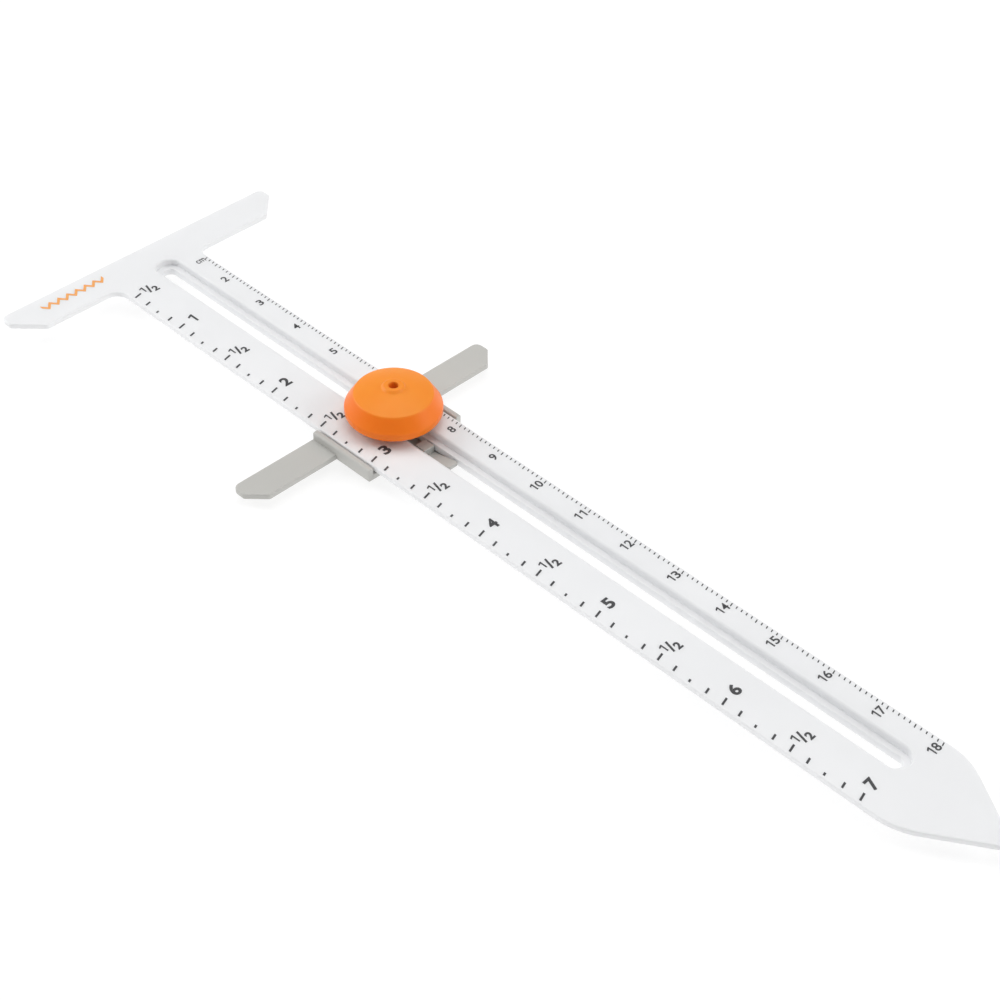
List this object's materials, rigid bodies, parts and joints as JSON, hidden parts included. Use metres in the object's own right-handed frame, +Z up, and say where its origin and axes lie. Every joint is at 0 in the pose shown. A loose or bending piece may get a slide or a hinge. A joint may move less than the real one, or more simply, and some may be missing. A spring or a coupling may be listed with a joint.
{
  "type": "sliding sewing gauge",
  "caption": "T-headed ruler with a long slot, a cross slide with two arms that runs along it, and a round clamp knob on a hollow screw.",
  "frame": {"origin": "centre of the bounding box in plan, on the plane the slide's plate rests on, with the slide at 2 1/2 inches and clamped", "axes": "+X along the ruler from the T-head to the point, +Y across the ruler towards its centimetre edge, +Z up out of the printed face, through the knob"},
  "size_m": [0.1962, 0.0608, 0.0114],
  "materials": {
    "white_plastic": "white moulded plastic, fine satin grain",
    "grey_plastic": "light grey moulded plastic, satin",
    "orange_plastic": "orange moulded plastic, soft gloss",
    "screw_steel": "turned steel",
    "insert_brass": "turned brass",
    "scale_ink": "dark grey printed scale marks and numerals",
    "mark_ink": "orange printed row of stitches"
  },
  "bodies": {
    "ruler": {"ruler_body": "white_plastic"},
    "slide": {"slide_body": "grey_plastic", "clamp_screw": "screw_steel"},
    "clamp": {"clamp_shoe": "grey_plastic"},
    "knob": {"knob": "orange_plastic", "knob_insert": "insert_brass"}
  },
  "joints": [
    {"name": "slide_travel", "type": "slide", "parent": "ruler", "child": "slide", "axis": [1, 0, 0], "range_m": [-0.054, 0.0918]},
    {"name": "clamp_lift", "type": "slide", "parent": "slide", "child": "clamp", "axis": [0, 0, 1], "range_m": [0, 0.0005]},
    {"name": "knob_turn", "type": "hinge", "parent": "clamp", "child": "knob", "pos_m": [-0.02846, 0.00123, 0.0057], "axis": [0, 0, 1], "range_deg": [0, 360]}
  ],
  "couplings": [
    {"joint": "knob_turn", "follows": "clamp_lift", "rad_per_m": 12566}
  ]
}
